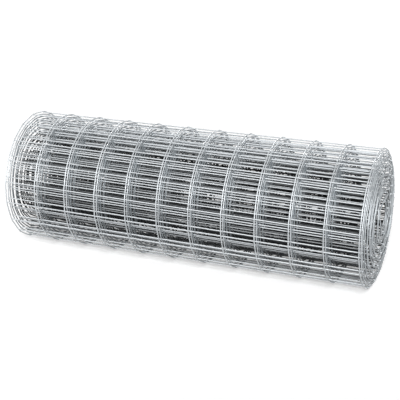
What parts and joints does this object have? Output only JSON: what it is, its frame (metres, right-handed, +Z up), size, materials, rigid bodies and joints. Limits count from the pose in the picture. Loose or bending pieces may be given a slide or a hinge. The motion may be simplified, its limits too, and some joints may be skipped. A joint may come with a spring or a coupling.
{
  "type": "roll of welded wire fencing",
  "caption": "Roll of galvanised welded wire mesh lying on its side, wound in open turns round a small bore; stock for fences, runs and plant guards.",
  "frame": {"origin": "on the floor, under the middle of the roll", "axes": "+X along the roll's axis to the end that the picture shows, +Z up, -Y towards the viewer"},
  "size_m": [0.83, 0.304, 0.303],
  "materials": {
    "galvanised_wire": "bright zinc coating, satin, on drawn steel wire"
  },
  "bodies": {
    "root": {"mesh_roll": "galvanised_wire"}
  },
  "joints": []
}
